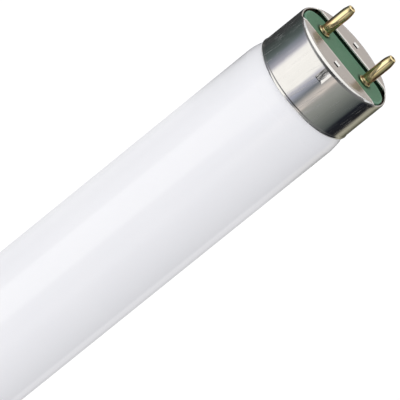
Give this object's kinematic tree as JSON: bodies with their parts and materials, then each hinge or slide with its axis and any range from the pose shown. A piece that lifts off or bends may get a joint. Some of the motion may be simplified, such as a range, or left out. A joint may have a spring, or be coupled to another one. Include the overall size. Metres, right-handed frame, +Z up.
{
  "type": "fluorescent tube",
  "caption": "Straight white glass fluorescent tube with an aluminium cap, a green insulating bar and brass contact pins at each end.",
  "frame": {"origin": "middle of the tube, on its axis", "axes": "+X along the tube, Y through the middles of the contact pins, +Z up across the slots of the caps"},
  "size_m": [0.604, 0.0258, 0.0258],
  "materials": {
    "white_glass": "gloss, white from the coating inside",
    "cap_aluminium": "bright drawn sheet with fine scratches along the tube",
    "green_plastic": "satin",
    "pin_brass": "bright",
    "cement": "dull",
    "lead_wire": "drawn wire"
  },
  "bodies": {
    "root": {"glass_tube": "white_glass", "left_cap_shell": "cap_aluminium", "left_insulator": "green_plastic", "left_cement_ring": "cement", "left_front_pin": "pin_brass", "left_front_lead": "lead_wire", "left_rear_pin": "pin_brass", "left_rear_lead": "lead_wire", "right_cap_shell": "cap_aluminium", "right_insulator": "green_plastic", "right_cement_ring": "cement", "right_front_pin": "pin_brass", "right_front_lead": "lead_wire", "right_rear_pin": "pin_brass", "right_rear_lead": "lead_wire"}
  },
  "joints": []
}
